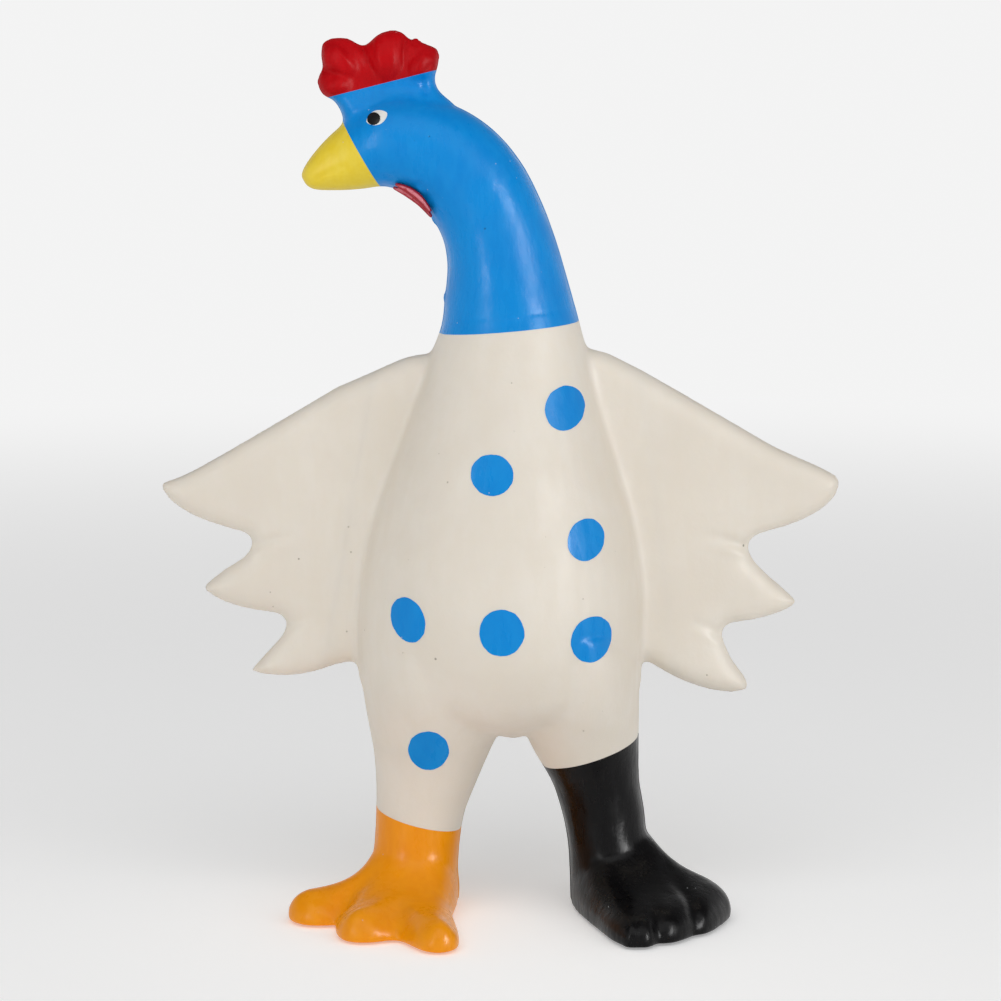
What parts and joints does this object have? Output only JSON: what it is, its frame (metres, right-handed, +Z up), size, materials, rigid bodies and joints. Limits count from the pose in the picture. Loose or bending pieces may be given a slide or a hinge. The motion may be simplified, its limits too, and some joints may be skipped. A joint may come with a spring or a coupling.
{
  "type": "rubber chicken",
  "caption": "Hollow latex chicken toy with a bending neck and head, flapping wings, bendable legs, a belly to squeeze and a reed squeaker in its back.",
  "frame": {"origin": "on the floor, at the middle of the bounding box seen from above, under the belly between the two feet", "axes": "+Z up the standing chicken; -Y its front, where the belly and toes point; +X its left side, which is on the right of someone facing it"},
  "size_m": [0.174, 0.0706, 0.2285],
  "materials": {
    "latex": "matte cream latex",
    "blue_paint": "satin blue latex paint",
    "red_paint": "satin red latex paint",
    "yellow_paint": "satin yellow latex paint",
    "orange_paint": "satin orange latex paint",
    "black_paint": "satin black latex paint",
    "eye_white": "satin white latex paint",
    "eye_black": "satin black latex paint",
    "plug_plastic": "satin moulded off-white plastic",
    "reed_plastic": "thin springy plastic"
  },
  "bodies": {
    "torso": {"torso_skin": "latex", "squeaker_plug": "plug_plastic", "squeaker_reed_holder": "plug_plastic", "squeaker_reed_wedge": "plug_plastic"},
    "belly": {"belly_panel": "latex"},
    "reed": {"squeaker_reed": "reed_plastic"},
    "neck": {"neck_skin": "blue_paint"},
    "head": {"head_skin": "blue_paint", "comb": "red_paint", "beak": "yellow_paint", "front_wattle": "red_paint", "rear_wattle": "red_paint", "front_eye_white": "eye_white", "front_eye_pupil": "eye_black", "rear_eye_white": "eye_white", "rear_eye_pupil": "eye_black"},
    "right_wing": {"right_wing_skin": "latex"},
    "left_wing": {"left_wing_skin": "latex"},
    "right_leg": {"right_leg_skin": "latex", "orange_foot": "orange_paint"},
    "left_leg": {"black_foot": "black_paint"}
  },
  "joints": [
    {"name": "belly_squeeze", "type": "slide", "parent": "torso", "child": "belly", "axis": [0, 1, 0], "range_m": [0, 0.006], "stiffness_N_per_m": 250},
    {"name": "reed_flutter", "type": "hinge", "parent": "torso", "child": "reed", "pos_m": [0, 0.01785, 0.086], "axis": [1, 0, 0], "range_deg": [-3, 3], "stiffness_Nm_per_rad": 0.002},
    {"name": "neck_bend", "type": "hinge", "parent": "torso", "child": "neck", "pos_m": [0.0023, 0.00735, 0.163], "axis": [0, 1, 0], "range_deg": [-25, 25], "stiffness_Nm_per_rad": 0.4},
    {"name": "head_nod", "type": "hinge", "parent": "neck", "child": "head", "pos_m": [-0.0095, 0.00735, 0.191], "axis": [0, 1, 0], "range_deg": [-20, 25], "stiffness_Nm_per_rad": 0.25},
    {"name": "right_wing_flap", "type": "hinge", "parent": "torso", "child": "right_wing", "pos_m": [-0.0318, 0.00735, 0.141], "axis": [0.1727, 0, 0.985], "range_deg": [-35, 35], "stiffness_Nm_per_rad": 0.08},
    {"name": "left_wing_flap", "type": "hinge", "parent": "torso", "child": "left_wing", "pos_m": [0.0352, 0.00735, 0.141], "axis": [0.1231, 0, -0.9924], "range_deg": [-35, 35], "stiffness_Nm_per_rad": 0.08},
    {"name": "right_leg_swing", "type": "hinge", "parent": "torso", "child": "right_leg", "pos_m": [-0.02, 0.00735, 0.032], "axis": [-1, 0, 0], "range_deg": [-25, 25], "stiffness_Nm_per_rad": 1},
    {"name": "left_leg_swing", "type": "hinge", "parent": "torso", "child": "left_leg", "pos_m": [0.025, 0.00735, 0.032], "axis": [-1, 0, 0], "range_deg": [-25, 25], "stiffness_Nm_per_rad": 1}
  ]
}
